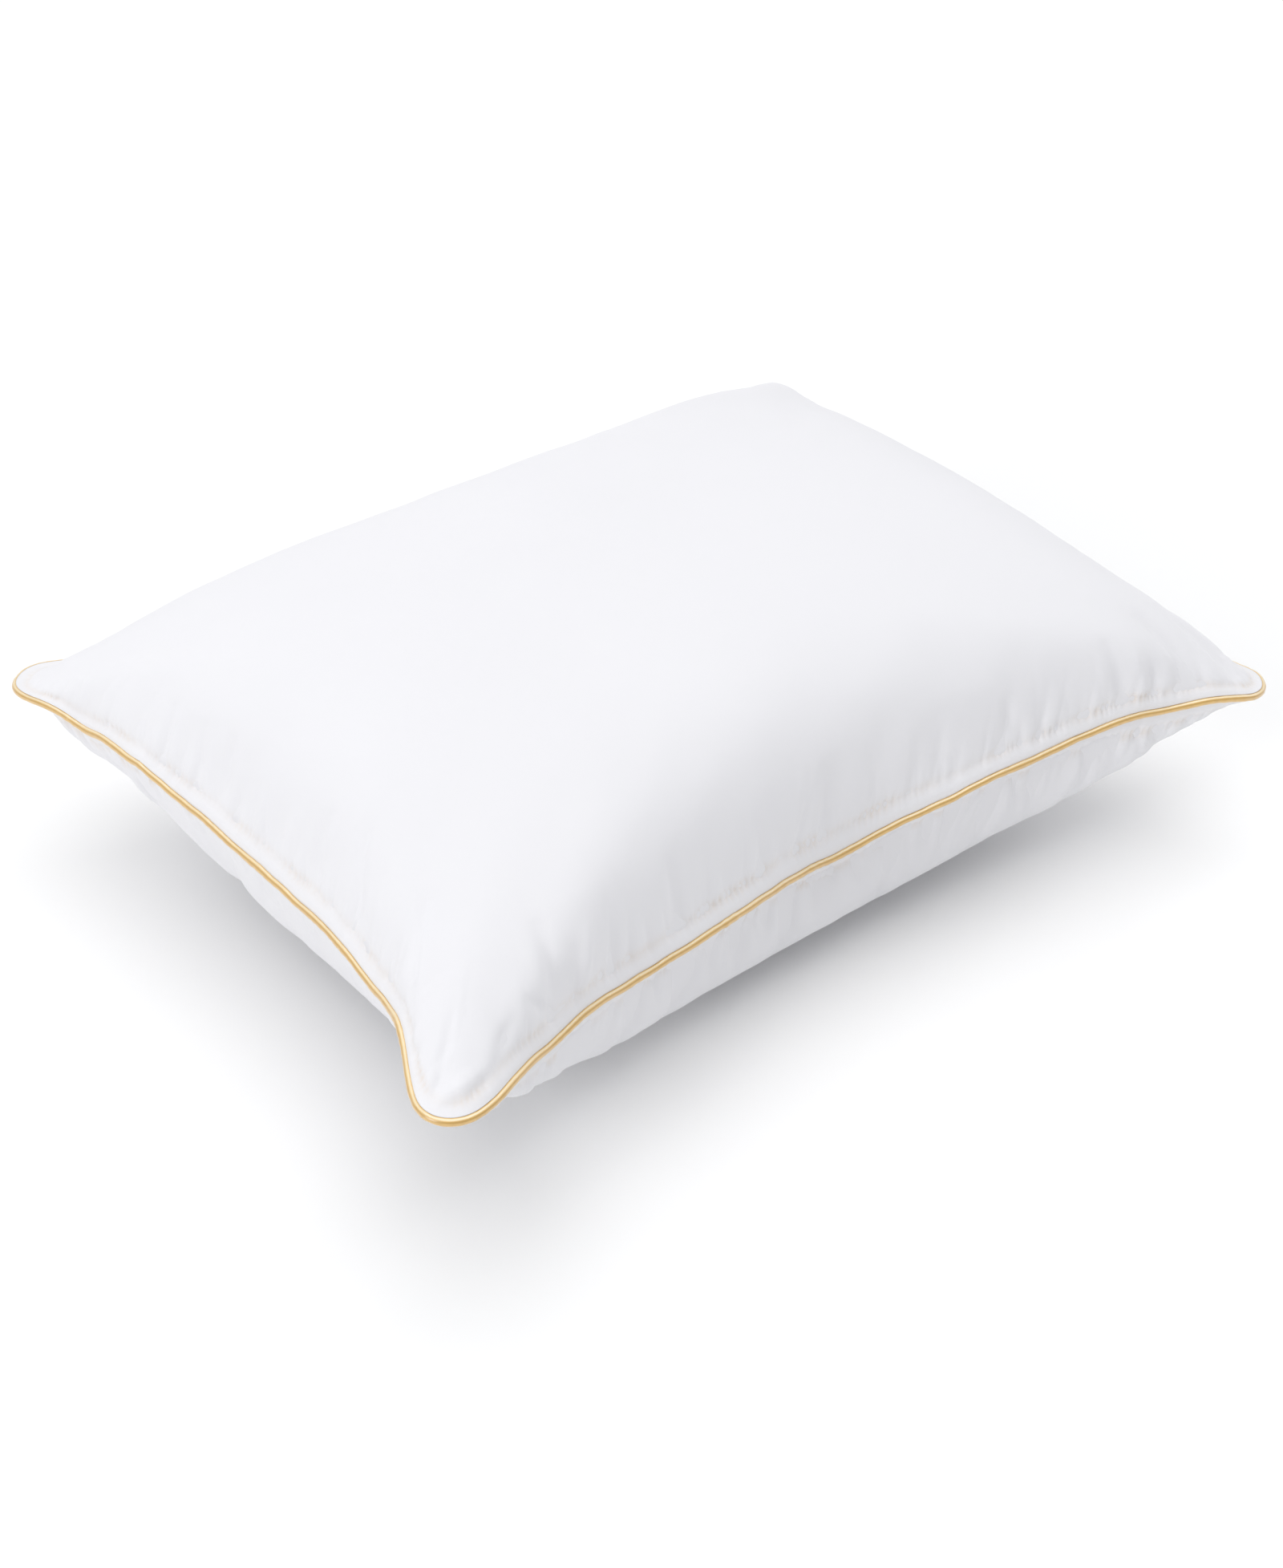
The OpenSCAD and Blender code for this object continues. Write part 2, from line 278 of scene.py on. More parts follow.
# ---------------------------------------------------------------- inflation
def inflate():
    """Cloth simulation of the two sewn panels on a floor.

    Pressure fills the casing but leaves the corner tips slack, as down does.
    Returns the flat points and where they lie on the upper and the lower panel.
    """
    flat, tris, edge_n = flat_mesh(SIM_STEP)
    n = len(flat)
    lift = 0.012 * np.clip(edge_distance(flat) / 0.05, 0, 1) ** 0.5
    lower_index = np.where(np.arange(n) < edge_n, np.arange(n), np.arange(n) + n - edge_n)
    upper = np.column_stack([flat, lift])
    lower = np.column_stack([flat, -lift])[edge_n:]
    mesh = bpy.data.meshes.new("casing_sim")
    faces = np.concatenate([tris, lower_index[tris][:, ::-1]])
    mesh.from_pydata(np.concatenate([upper, lower]).tolist(), [], faces.tolist())
    casing = bpy.data.objects.new("casing_sim", mesh)
    casing.location.z = SIM_START_Z
    floor_mesh = bpy.data.meshes.new("floor_sim")
    floor_mesh.from_pydata([(-1, -1, 0), (1, -1, 0), (1, 1, 0), (-1, 1, 0)], [], [(0, 1, 2, 3)])
    floor = bpy.data.objects.new("floor_sim", floor_mesh)
    for o in (casing, floor):
        bpy.context.scene.collection.objects.link(o)
    floor.modifiers.new("collision", "COLLISION")
    floor.collision.thickness_outer = 0.002
    floor.collision.cloth_friction = 20
    floor.collision.damping = 0.5

    pressure = casing.vertex_groups.new(name="pressure")
    places = np.concatenate([flat, flat[edge_n:]])
    tip = np.hypot(HALF_L - np.abs(places[:, 0]), HALF_W - np.abs(places[:, 1]))
    full = np.clip((tip - SLACK_TIP) / SLACK_SPAN, 0, 1)
    for i, w in enumerate(full * full * (3 - 2 * full)):
        pressure.add([i], float(w), "REPLACE")
    modifier = casing.modifiers.new("cloth", "CLOTH")
    cloth = modifier.settings
    cloth.vertex_group_pressure = "pressure"
    cloth.quality = 8
    cloth.mass = 1.5 * SIM_STEP**2
    cloth.tension_stiffness = SIM_STIFFNESS
    cloth.compression_stiffness = SIM_STIFFNESS
    cloth.shear_stiffness = SIM_STIFFNESS / 2
    cloth.bending_stiffness = 0.5
    cloth.tension_damping = 5
    cloth.compression_damping = 5
    cloth.shear_damping = 5
    cloth.bending_damping = 0.5
    cloth.air_damping = 1
    cloth.use_pressure = True
    cloth.uniform_pressure_force = SIM_PRESSURE
    modifier.collision_settings.distance_min = 0.002
    modifier.collision_settings.use_self_collision = False
    modifier.point_cache.frame_end = SIM_FRAMES + 5
    scene = bpy.context.scene
    for f in range(1, SIM_FRAMES + 1):
        scene.frame_set(f)
    settled = casing.evaluated_get(bpy.context.evaluated_depsgraph_get())
    co = np.empty(len(settled.data.vertices) * 3)
    settled.data.vertices.foreach_get("co", co)
    co = co.reshape(-1, 3)
    co[:, 2] -= co[:, 2].min()
    for o in (casing, floor):
        bpy.data.objects.remove(o)
    scene.frame_set(1)
    return flat, co[:n], co[lower_index]


class Casing:
    """The inflated casing as smooth functions of the flat place, with its wrinkles apart."""

    U_TERMS, V_TERMS = 14, 12
    CELL = 0.002
    # Empty cells kept round the raster
    MARGIN = 4

    def __init__(self, edge, flat, upper, lower):
        terms = self.terms(flat)
        self.fits = {}
        self.wrinkles = {}
        draw = np.random.default_rng(WAVER_SEED)
        line = edge.along[:-1]
        waver = smooth_noise(draw, line, edge.total, 0.045) * 0.00045
        self.waver = (waver + smooth_noise(draw, line, edge.total, 0.020) * 0.00018)[:, None]
        for side, place in ((1, upper), (-1, lower)):
            fit = np.linalg.lstsq(terms, place, rcond=None)[0]
            rest = place - terms @ fit
            self.fits[side] = self.even(fit)
            self.wrinkles[side] = self.raster(flat, rest)
        self.top = float(self.raw(np.zeros((1, 2)), 1)[0, 2])
        rims = [self.raw(edge.loop, side)[:, 2].mean() for side in (1, -1)]
        self.seam = float(sum(rims) / 2)

    def terms(self, flat):
        cheb = np.polynomial.chebyshev.chebvander
        tu = cheb(flat[:, 0] / HALF_L, self.U_TERMS)
        tv = cheb(flat[:, 1] / HALF_W, self.V_TERMS)
        return np.stack([tu[:, i] * tv[:, j] for i, j in self.pairs()], 1)

    def pairs(self):
        return [
            (i, j)
            for i in range(self.U_TERMS + 1)
            for j in range(self.V_TERMS + 1)
            if i / self.U_TERMS + j / self.V_TERMS <= 1.25
        ]

    def even(self, fit):
        """Keeps the terms that are the same at both ends and on both sides."""
        fit = fit.copy()
        for row, (i, j) in enumerate(self.pairs()):
            odd = (i % 2, j % 2)
            fit[row] *= (odd == (1, 0), odd == (0, 1), odd == (0, 0))
        return fit

    def raster(self, flat, values, spread=0.006):
        """Scattered values as a smooth grid over the cut, by Gaussian weights."""
        around = 2 * self.MARGIN + 1
        shape = (int(CASING_L / self.CELL) + around, int(CASING_W / self.CELL) + around)
        at = np.round((flat + [HALF_L, HALF_W]) / self.CELL).astype(int) + self.MARGIN
        cell = at[:, 0] * shape[1] + at[:, 1]
        fx = np.fft.fftfreq(shape[0], self.CELL)[:, None]
        fy = np.fft.rfftfreq(shape[1], self.CELL)[None, :]
        blur = np.exp(-2 * (math.pi * spread) ** 2 * (fx**2 + fy**2))

        def spread_out(weights):
            grid = np.bincount(cell, weights, shape[0] * shape[1]).reshape(shape)
            return np.fft.irfft2(np.fft.rfft2(grid) * blur, shape)

        total = spread_out(np.ones(len(flat))) + 1e-6
        return np.stack([spread_out(values[:, k]) / total for k in range(3)], 2)

    def read(self, grid, flat):
        """Bilinear value of a raster at flat places."""
        at = (flat + [HALF_L, HALF_W]) / self.CELL + self.MARGIN
        at = np.clip(at, 0, np.array(grid.shape[:2]) - 1.001)
        i, j = at[:, 0].astype(int), at[:, 1].astype(int)
        p, q = (at[:, 0] - i)[:, None], (at[:, 1] - j)[:, None]
        near = grid[i, j] * (1 - q) + grid[i, j + 1] * q
        far = grid[i + 1, j] * (1 - q) + grid[i + 1, j + 1] * q
        return near * (1 - p) + far * p

    def raw(self, flat, side):
        return self.terms(flat) @ self.fits[side]

    def place(self, edge, flat, side):
        """Where a panel's points lie. Both panels meet at the sewn edge."""
        depth = edge_distance(flat)[:, None]
        s, rim = edge.nearest(flat)
        meet = (self.raw(rim, -side) - self.raw(rim, side)) / 2
        place = self.raw(flat, side) + meet * np.exp(-depth / 0.02)
        free = 1 - np.exp(-((depth / 0.012) ** 2))
        place += self.read(self.wrinkles[side], flat) * free * WRINKLE_SHARE
        place = self.settle(place, flat)
        place[:, 2] += edge.read(self.waver, s)[:, 0] * np.exp(-depth[:, 0] / 0.014)
        return place

    def settle(self, place, flat):
        """Lays the even pillow down as this one lies."""
        u, v = flat[:, 0] / HALF_L, flat[:, 1] / HALF_W
        out = place.copy()
        z = place[:, 2]
        rise = self.top - self.seam
        above = np.clip((z - self.seam) / rise, 0, None) ** CROWN_POWER
        below = np.clip((self.seam - z) / self.seam, 0, None) ** BELLY_POWER
        swell = rise * above - self.seam * below
        for (a, b), flatness in EARS.items():
            tip = np.hypot(HALF_L - a * flat[:, 0], HALF_W - b * flat[:, 1])
            swell *= 1 - flatness * np.exp(-((tip / EAR_REACH) ** 2))
        height = self.seam + swell
        held = np.clip(z / self.seam, 0, 1)
        full = np.clip((height - self.seam) / rise, 0, 1) ** 0.5
        out[:, 2] = height
        out *= SCALE
        for (a, b), move in CORNER_MOVES.items():
            share = (np.clip((1 + a * u) / 2, 0, 1) * np.clip((1 + b * v) / 2, 0, 1)) ** 4
            outward, up = TIP_MOVES[a, b]
            diagonal = outward * share**4 * math.sqrt(0.5)
            out[:, 0] += move[0] * share + a * diagonal
            out[:, 1] += move[1] * share + b * diagonal
            out[:, 2] += (move[2] * share + up * share**4) * held
            out[:, 2] += CORNER_FILL[a, b] * share * full
        for (a, b), (outward, lean, up, rise_along, bow) in SIDE_MOVES.items():
            along = u if b else v
            share = (1 - along**2) * np.clip((1 + a * u + b * v) / 2, 0, 1) ** 2
            out[:, 0] += a * (outward + lean * along) * share
            out[:, 1] += b * (outward + lean * along) * share
            out[:, 2] += (up + rise_along * along + bow * along**2) * share * held
        for middle, spread, up in SEAM_DIPS:
            far = ((flat - middle) ** 2).sum(1) / spread**2
            out[:, 2] += up * np.exp(-far) * held
        out[:, 2] += full * (FILL_LEAN[0] * u * np.abs(u) + FILL_LEAN[1] * v * np.abs(v))
        return out


class Edge:
    """Distances along the flat sewn edge, and the place on it nearest to any flat point."""

    def __init__(self, step=0.001):
        self.loop = edge_loop(step)
        ahead = np.roll(self.loop, -1, 0) - self.loop
        lengths = np.hypot(ahead[:, 0], ahead[:, 1])
        self.ahead = ahead / lengths[:, None]
        self.along = np.concatenate([[0], np.cumsum(lengths)])
        self.total = self.along[-1]
        self.tree = KDTree(len(self.loop))
        for i, p in enumerate(self.loop):
            self.tree.insert((p[0], p[1], 0), i)
        self.tree.balance()

    def nearest(self, flat):
        """Distance along the edge, and the edge point, for each flat point."""
        i = np.array([self.tree.find((x, y, 0))[1] for x, y in flat])
        slide = ((flat - self.loop[i]) * self.ahead[i]).sum(1)
        s = (self.along[i] + slide) % self.total
        return s, self.read(self.loop, s)

    def read(self, values, s):
        """Values given at the loop's points, between them at distances s along it."""
        closed = np.concatenate([values, values[:1]])
        s = np.asarray(s) % self.total
        return np.stack([np.interp(s, self.along, column) for column in closed.T], -1)

    def spaced(self, step):
        """Evenly spaced distances along the whole edge."""
        return np.linspace(0, self.total, round(self.total / step), endpoint=False)


class Seam:
    """The sewn edge in space, with directions out of the pillow and up across the seam."""

    def __init__(self, edge, casing):
        self.edge = edge
        self.point = casing.place(edge, edge.loop, 1)
        ahead = unit(np.roll(self.point, -2, 0) - np.roll(self.point, 2, 0))
        self.out = unit(soften(np.cross(ahead, [0.0, 0.0, 1.0]), 6))
        self.up = unit(np.cross(self.out, ahead))

    def at(self, s, out=0.0, up=0.0):
        """Points beside the seam at distances s along it."""
        read = self.edge.read
        shift = np.asarray(out)[..., None] * read(self.out, s)
        return read(self.point, s) + shift + np.asarray(up)[..., None] * read(self.up, s)


def unit(v):
    return v / np.linalg.norm(v, axis=-1, keepdims=True)


def soften(loop_values, passes):
    """Averages values along a closed loop."""
    for _ in range(passes):
        loop_values = (
            loop_values + (np.roll(loop_values, 3, 0) + np.roll(loop_values, -3, 0))
        ) / 3
    return loop_values


def vertex_normals(points, tris):
    a, b, c = (points[tris[:, k]] for k in range(3))
    face = np.cross(b - a, c - a)
    total = np.zeros_like(points)
    for k in range(3):
        for axis in range(3):
            total[:, axis] += np.bincount(tris[:, k], face[:, axis], len(points))
    return unit(total)


# ---------------------------------------------------------------- relief sewn into the cotton
def dents(draw, edge, s, depth, gaps, widths, reaches, strengths, start_depth):
    """Dents square to the seam, one after another all the way round."""
    relief = np.zeros(len(s))
    place = 0.0
    while place < edge.total:
        width = draw.uniform(*widths)
        reach = draw.uniform(*reaches)
        strength = draw.uniform(*strengths)
        lean = draw.uniform(-0.35, 0.35)
        gap = (s - place - lean * depth + edge.total / 2) % edge.total - edge.total / 2
        spread = width * (1 + depth / 0.05)
        near = np.exp(-((gap / spread) ** 2))
        start = 1 - np.exp(-((depth / start_depth) ** 2))
        relief -= strength * near * start * np.exp(-((depth / reach) ** 2))
        place += draw.uniform(*gaps)
    return relief


def ripples(edge, s, side):
    """Fine waves from the feed of the machine, 0 to 1, in patches along the seam."""
    draw = np.random.default_rng(RIPPLE_SEEDS[side])
    phase = 2 * math.pi * round(edge.total / RIPPLE_PITCH) * s / edge.total
    phase = phase + 1.6 * smooth_noise(draw, s, edge.total, 0.025)
    patches = np.clip(0.55 + 0.45 * smooth_noise(draw, s, edge.total, 0.030), 0.1, 1)
    return (0.5 - 0.5 * np.sin(phase)) * patches


def folds(flat, named):
    """Single folds, each along its own line on the cut."""
    relief = np.zeros(len(flat))
    for start, end, width, height in named:
        start, line = np.array(start), np.array(end) - start
        length = np.hypot(*line)
        along = np.clip((flat - start) @ line / length**2, 0, 1)
        far = np.hypot(*(flat - start - along[:, None] * line).T)
        taper = np.sin(math.pi * np.clip(0.12 + 0.76 * along, 0, 1)) ** 0.7
        relief += height * taper * np.exp(-((far / width) ** 2))
    return relief


def sewn_relief(edge, flat, s, depth, side):
    """Height of the cotton over the even face, and the tan tint by the seam: the gold flange
    showing through, and painted shade in the groove's dips.
    """
    draw = np.random.default_rng(DENT_SEEDS[side])
    start = 1 - np.exp(-((depth / 0.003) ** 2))
    ridge_at, ridge_half, ridge_height = RIDGE
    relief = ridge_height * np.exp(-(((depth - ridge_at) / ridge_half) ** 2))
    groove_at, groove_half, groove_height = GROOVE
    groove = np.exp(-(((depth - groove_at) / groove_half) ** 2))
    ripple = ripples(edge, s, side)
    relief -= groove * (groove_height + RIPPLE_HEIGHT * ripple)
    relief += dents(draw, edge, s, depth, *FINE_DENTS)
    relief += dents(draw, edge, s, depth, *BROAD_DENTS[side])
    relief += dents(draw, edge, s, depth, *SHARP_DENTS) * SHARP_SHARE[side]
    # The corners are pulled smooth by the turned allowance inside them
    tip = np.hypot(HALF_L - np.abs(flat[:, 0]), HALF_W - np.abs(flat[:, 1]))
    relief *= 1 - 0.75 * np.exp(-((tip / EAR_REACH) ** 2))
    named = UPPER_FOLDS if side > 0 else LOWER_FOLDS
    relief += FOLD_HEIGHT * folds(flat, named) * start
    patches = np.clip(0.5 + 0.55 * smooth_noise(draw, s, edge.total, 0.028), 0, 1)
    # The tan tint follows the groove and its ripples, strongest where the cloth dips deepest:
    # painted shade, partly the gold flange showing through
    return relief, groove * (0.45 + 0.55 * patches) * (0.4 + 0.6 * ripple)


# ---------------------------------------------------------------- meshes
def make_object(name, points, faces, uv=None):
    """A smooth mesh, with the flat place of each point as its UV where it has one."""
    mesh = bpy.data.meshes.new(name)
    mesh.from_pydata(points.tolist(), [], faces)
    if uv is not None:
        corner = np.empty(len(mesh.loops), np.int32)
        mesh.loops.foreach_get("vertex_index", corner)
        layer = mesh.uv_layers.new(name="flat")
        layer.data.foreach_set("uv", uv[corner].astype(np.float32).ravel())
    mesh.polygons.foreach_set("use_smooth", [True] * len(mesh.polygons))
    mesh.validate()
    piece = bpy.data.objects.new(name, mesh)
    bpy.context.scene.collection.objects.link(piece)
    return piece


def grid_faces(rows, columns, wrap_rows, wrap_columns):
    """Four-sided faces of a grid of points, closed on itself where it wraps."""
    faces = []
    for i in range(rows if wrap_rows else rows - 1):
        j = (i + 1) % rows
        for k in range(columns if wrap_columns else columns - 1):
            n = (k + 1) % columns
            faces.append((i * columns + k, j * columns + k, j * columns + n, i * columns + n))
    return faces


def closed_sweep(name, grid, uv=None):
    """A solid ring: sections of equal length swept all the way round."""
    rows, columns = grid.shape[:2]
    faces = grid_faces(rows, columns, True, True)
    return make_object(name, grid.reshape(-1, 3), faces, uv)


def tube_rings(path, radius, sides, closed):
    """Rings of points round a path."""
    if closed:
        ahead = unit(np.roll(path, -1, 0) - np.roll(path, 1, 0))
    else:
        ahead = unit(np.gradient(path, axis=0))
    across = unit(np.cross(ahead, [0.13, 0.21, 1.0]))
    over = np.cross(across, ahead)
    a = np.arange(sides) * 2 * math.pi / sides
    radius = np.broadcast_to(np.asarray(radius), len(path))[:, None, None]
    ring = np.cos(a)[None, :, None] * across[:, None] + np.sin(a)[None, :, None] * over[:, None]
    return path[:, None] + radius * ring


def open_tubes(name, rings_list):
    """Many short capped tubes as one mesh."""
    points, faces, count = [], [], 0
    for grid in rings_list:
        rows, columns = grid.shape[:2]
        points.append(grid.reshape(-1, 3))
        body = grid_faces(rows, columns, False, True)
        body.append(tuple(range(columns)))
        body.append(tuple((rows - 1) * columns + k for k in range(columns))[::-1])
        faces.extend(tuple(count + i for i in f) for f in body)
        count += rows * columns
    return make_object(name, np.concatenate(points), faces)


# ---------------------------------------------------------------- the pieces
def panel(name, edge, casing, seam, side):
    """One cotton panel: its face, its allowance folded inside, and its inner face."""
    flat, tris, edge_n = fine_mesh()
    depth = edge_distance(flat)
    s, _ = edge.nearest(flat)
    base = casing.place(edge, flat, side)
    outward = vertex_normals(base, tris) * side
    relief, flange_and_shade = sewn_relief(edge, flat, s, depth, side)
    # The fold at the edge lies on the shoulder of the cord
    lift = 0.0024 * np.exp(-depth / 0.003)
    press = 0.0020 * np.exp(-depth / 0.0015)
    outer = base + edge.read(seam.up, s) * (side * lift)[:, None]
    outer += edge.read(seam.out, s) * press[:, None] + outward * relief[:, None]

    inner_flat, inner_tris, _ = flat_mesh(INNER_STEP, rim_step=RIM_STEP)
    inner_depth = edge_distance(inner_flat)[:, None]
    inner = casing.place(edge, inner_flat, side)
    outward = vertex_normals(inner, inner_tris) * side
    # The inner face is kept clear of the deepest dents of the outer one
    inner -= outward * (COTTON_T + 0.003 * (1 - np.exp(-inner_depth / 0.008)))
    rim_s = s[:edge_n]
    inner[:edge_n] = seam.at(rim_s, -1.5 * COTTON_T, side * (PANEL_GAP + COTTON_T))
    turn = [
        seam.at(rim_s, -0.1 * COTTON_T, side * (PANEL_GAP + 0.4 * COTTON_T)),
        seam.at(rim_s, -0.5 * COTTON_T, side * PANEL_GAP),
        seam.at(rim_s, -ALLOWANCE, side * PANEL_GAP),
        seam.at(rim_s, -ALLOWANCE, side * (PANEL_GAP + COTTON_T)),
    ]
    n, inner_n = len(flat), len(inner_flat)
    points = np.concatenate([outer, inner] + turn)
    rim_flat = flat[:edge_n]
    ahead = edge.read(edge.ahead, rim_s)
    cut_flat = rim_flat + np.stack([ahead[:, 1], -ahead[:, 0]], 1) * ALLOWANCE
    uv = np.concatenate([flat, inner_flat, rim_flat, rim_flat, cut_flat, cut_flat])
    rings = [0] + [n + inner_n + k * edge_n for k in range(len(turn))] + [n]
    faces = [tuple(f) for f in tris] + [tuple(f) for f in (inner_tris + n)[:, ::-1]]
    for a, b in zip(rings, rings[1:]):
        for k in range(edge_n):
            j = (k + 1) % edge_n
            faces.append((a + j, a + k, b + k, b + j))
    if side < 0:
        faces = [f[::-1] for f in faces]
    piece = make_object(name, points, faces, uv)
    # Share of the tan tint kept on the points: painted shade in the groove, partly the gold flange
    # showing through
    values = np.concatenate([flange_and_shade, np.zeros(len(points) - n)])
    tint_attribute = piece.data.attributes.new("flange_and_groove_shade", "FLOAT", "POINT")
    tint_attribute.data.foreach_set("value", values.astype(np.float32))
    return piece


def piping_cover(edge, seam):
    """Bias strip: round the cord, with both edges face to face as the flange."""
    s = edge.spaced(0.0016)
    draw = np.random.default_rng(GATHER_SEED)
    slit = 0.00005
    half = STRIP_T + slit
    flange = ALLOWANCE - 0.001
    arc = 22
    gathers = smooth_noise(draw, s, edge.total, 0.006) * 0.00006
    gathers += smooth_noise(draw, s, edge.total, 0.030) * 0.00008
    radius = PIPE_R + gathers
    # The strip's folded end lies over its start
    radius += STRIP_T * ((s > JOIN_S) & (s < JOIN_S + JOIN_L))
    outer_slit = np.arcsin(half / radius)
    inner_slit = np.arcsin(slit / (radius - STRIP_T))
    section = [(-flange + 0 * s, half + 0 * s)]
    for k in range(arc + 1):
        a = math.pi - outer_slit - (2 * math.pi - 2 * outer_slit) * k / arc
        section.append((PIPE_OUT + radius * np.cos(a), radius * np.sin(a)))
    section += [(-flange + 0 * s, -half + 0 * s), (-flange + 0 * s, -slit + 0 * s)]
    for k in range(arc + 1):
        a = -math.pi + inner_slit + (2 * math.pi - 2 * inner_slit) * k / arc
        inner = radius - STRIP_T
        section.append((PIPE_OUT + inner * np.cos(a), inner * np.sin(a)))
    section.append((-flange + 0 * s, slit + 0 * s))
    grid = np.stack([seam.at(s, out, up) for out, up in section], 1)
    width = [0.0]
    for (o1, u1), (o2, u2) in zip(section, section[1:]):
        width.append(width[-1] + math.hypot(float(o2[0] - o1[0]), float(u2[0] - u1[0])))
    uv = np.stack(np.broadcast_arrays(s[:, None], np.array(width)[None, :]), 2)
    return closed_sweep("piping_bias_strip", grid, uv.reshape(-1, 2))


def smooth_noise(draw, s, total, scale):
    """Random waves along the seam, about one unit high, that close on themselves."""
    waves = max(3, round(total / scale))
    value = np.zeros_like(s)
    for k in range(1, waves + 1):
        phase = draw.uniform(0, 2 * math.pi)
        value += draw.normal() * np.sin(2 * math.pi * k * s / total + phase)
    return value / math.sqrt(waves / 2)


def piping_cord(edge, seam):
    """Filler cord of three twisted strands."""
    s = edge.spaced(0.0016)
    turns = round(edge.total / 0.014)
    strand_r = CORD_R * 0.46
    grids = []
    for k in range(3):
        a = 2 * math.pi * (turns * s / edge.total + k / 3)
        ring_r = CORD_R - strand_r
        path = seam.at(s, PIPE_OUT + ring_r * np.cos(a), ring_r * np.sin(a))
        grids.append(tube_rings(path, strand_r, 8, True))
    return rows_object("piping_filler_cord", grids)


def stitch_row(edge, seam, out, height, pitch, radius):
    """Thread that runs along the cloth and dips through it once a stitch."""
    count = round(edge.total / pitch)
    s = edge.spaced(edge.total / (count * 5))
    phase = (s / edge.total * count) % 1
    dip = np.clip(1 - np.abs(phase - 0.5) * 2 * 2.5, 0, 1) ** 0.5
    path = seam.at(s, out + 0 * s, height * (1 - 0.8 * dip))
    return tube_rings(path, radius, 5, True)


def rows_object(name, grids):
    """Closed tubes as one mesh."""
    points = np.concatenate([g.reshape(-1, 3) for g in grids])
    faces, count = [], 0
    for g in grids:
        faces += [tuple(count + i for i in f) for f in grid_faces(*g.shape[:2], True, True)]
        count += g.shape[0] * g.shape[1]
    return make_object(name, points, faces)


def seam_threads(edge, seam):
    height = PANEL_GAP + COTTON_T + 0.8 * THREAD_R
    grids = [
        stitch_row(edge, seam, -0.0028, side * height, 0.003, THREAD_R * 0.8) for side in (1, -1)
    ]
    return rows_object("seam_lockstitch", grids)


def piping_threads(edge, seam):
    height = STRIP_T + 0.00005 + THREAD_R * 0.7
    grid = stitch_row(edge, seam, -0.0012, height, 0.0035, THREAD_R * 0.6)
    return rows_object("piping_lockstitch", [grid])


def overlock(edge, seam):
    """Loops of thread bound over the raw edges of the allowance."""
    loops = round(edge.total / 0.003)
    s = edge.spaced(edge.total / (loops * 12))
    a = 2 * math.pi * loops * s / edge.total
    out = -ALLOWANCE + 0.0012 + 0.0020 * np.cos(a)
    up = (PANEL_GAP + COTTON_T + 2 * THREAD_R) * np.sin(a)
    path = seam.at(s, out, up)
    return rows_object("overlock_loops", [tube_rings(path, THREAD_R, 4, True)])


def closing_stitches(edge, casing, seam):
    """The hand-guided edge stitches that closed the filling gap in the +X end."""
    middle = HALF_W - CORNER_R
    stitches = []
    half_gap = 0.100
    pitch = 0.0034
    depth = 0.0022
    bends = 7
    for s0 in np.arange(middle - half_gap, middle + half_gap, pitch):
        s = np.linspace(s0, s0 + pitch * 0.8, bends)
        rim = edge.read(edge.loop, s)
        flat = rim - np.array([depth, 0])
        place = casing.place(edge, flat, 1)
        up = edge.read(seam.up, s)
        out = edge.read(seam.out, s)
        arch = np.sin(np.linspace(0, math.pi, bends)) * 1.2 - 0.45
        normal = unit(up + 0.5 * out)
        lift = (PANEL_GAP + COTTON_T) * math.exp(-depth / 0.003)
        path = place + up * lift + normal * (arch * THREAD_R)[:, None]
        stitches.append(tube_rings(path, THREAD_R, 6, False))
    return open_tubes("closing_edge_stitches", stitches)


def care_label(edge, seam):
    """Blank satin tape caught under the flange, passing below the piping and hanging."""
    middle = HALF_W - CORNER_R
    s = np.linspace(middle - LABEL_W / 2, middle + LABEL_W / 2, 17)
    shelf = -(STRIP_T + 0.00012)
    line = [(-0.011, shelf), (-0.0005, shelf)]
    around = PIPE_R + 0.00025
    bends, tab_steps = 7, 9
    for k in range(bends):
        a = math.radians(-150 + 20 * k)
        line.append((PIPE_OUT + around * math.cos(a), around * math.sin(a)))
    tab_out, tab_up = line[-1]
    for k in range(1, tab_steps + 1):
        f = k / tab_steps
        line.append((tab_out + 0.0165 * f - 0.004 * f * f, tab_up - 0.012 * f * f - 0.006 * f))
    line = np.array(line)
    step = np.gradient(line, axis=0)
    side = unit(np.stack([step[:, 1], -step[:, 0]], 1))
    low = line + side * LABEL_T
    section = np.concatenate([line, low[::-1]])
    curl = 0.0012 * np.sin((s - middle) / LABEL_W * 5.0)
    rows = []
    for k, (out, up) in enumerate(section):
        free = np.clip((min(k, len(section) - 1 - k) - bends - 1) / tab_steps, 0, 1)
        rows.append(seam.at(s, out + curl * free * 0.5, up + curl * free))
    grid = np.stack(rows, 1)
    n, m = grid.shape[:2]
    faces = grid_faces(n, m, False, True)
    for row in (0, n - 1):
        for k in range(len(line) - 1):
            quad = (row * m + k, row * m + k + 1, row * m + m - 2 - k, row * m + m - 1 - k)
            faces.append(quad if row == 0 else quad[::-1])
    length = np.concatenate([[0], np.cumsum(np.linalg.norm(np.diff(line, axis=0), axis=1))])
    v = np.concatenate([length, length[::-1]])
    uv = np.stack(np.broadcast_arrays((s - middle)[:, None], v[None, :]), 2).reshape(-1, 2)
    piece = make_object("care_label_tape", grid.reshape(-1, 3), faces, uv)
    return piece, (LABEL_W, float(length[-1]))


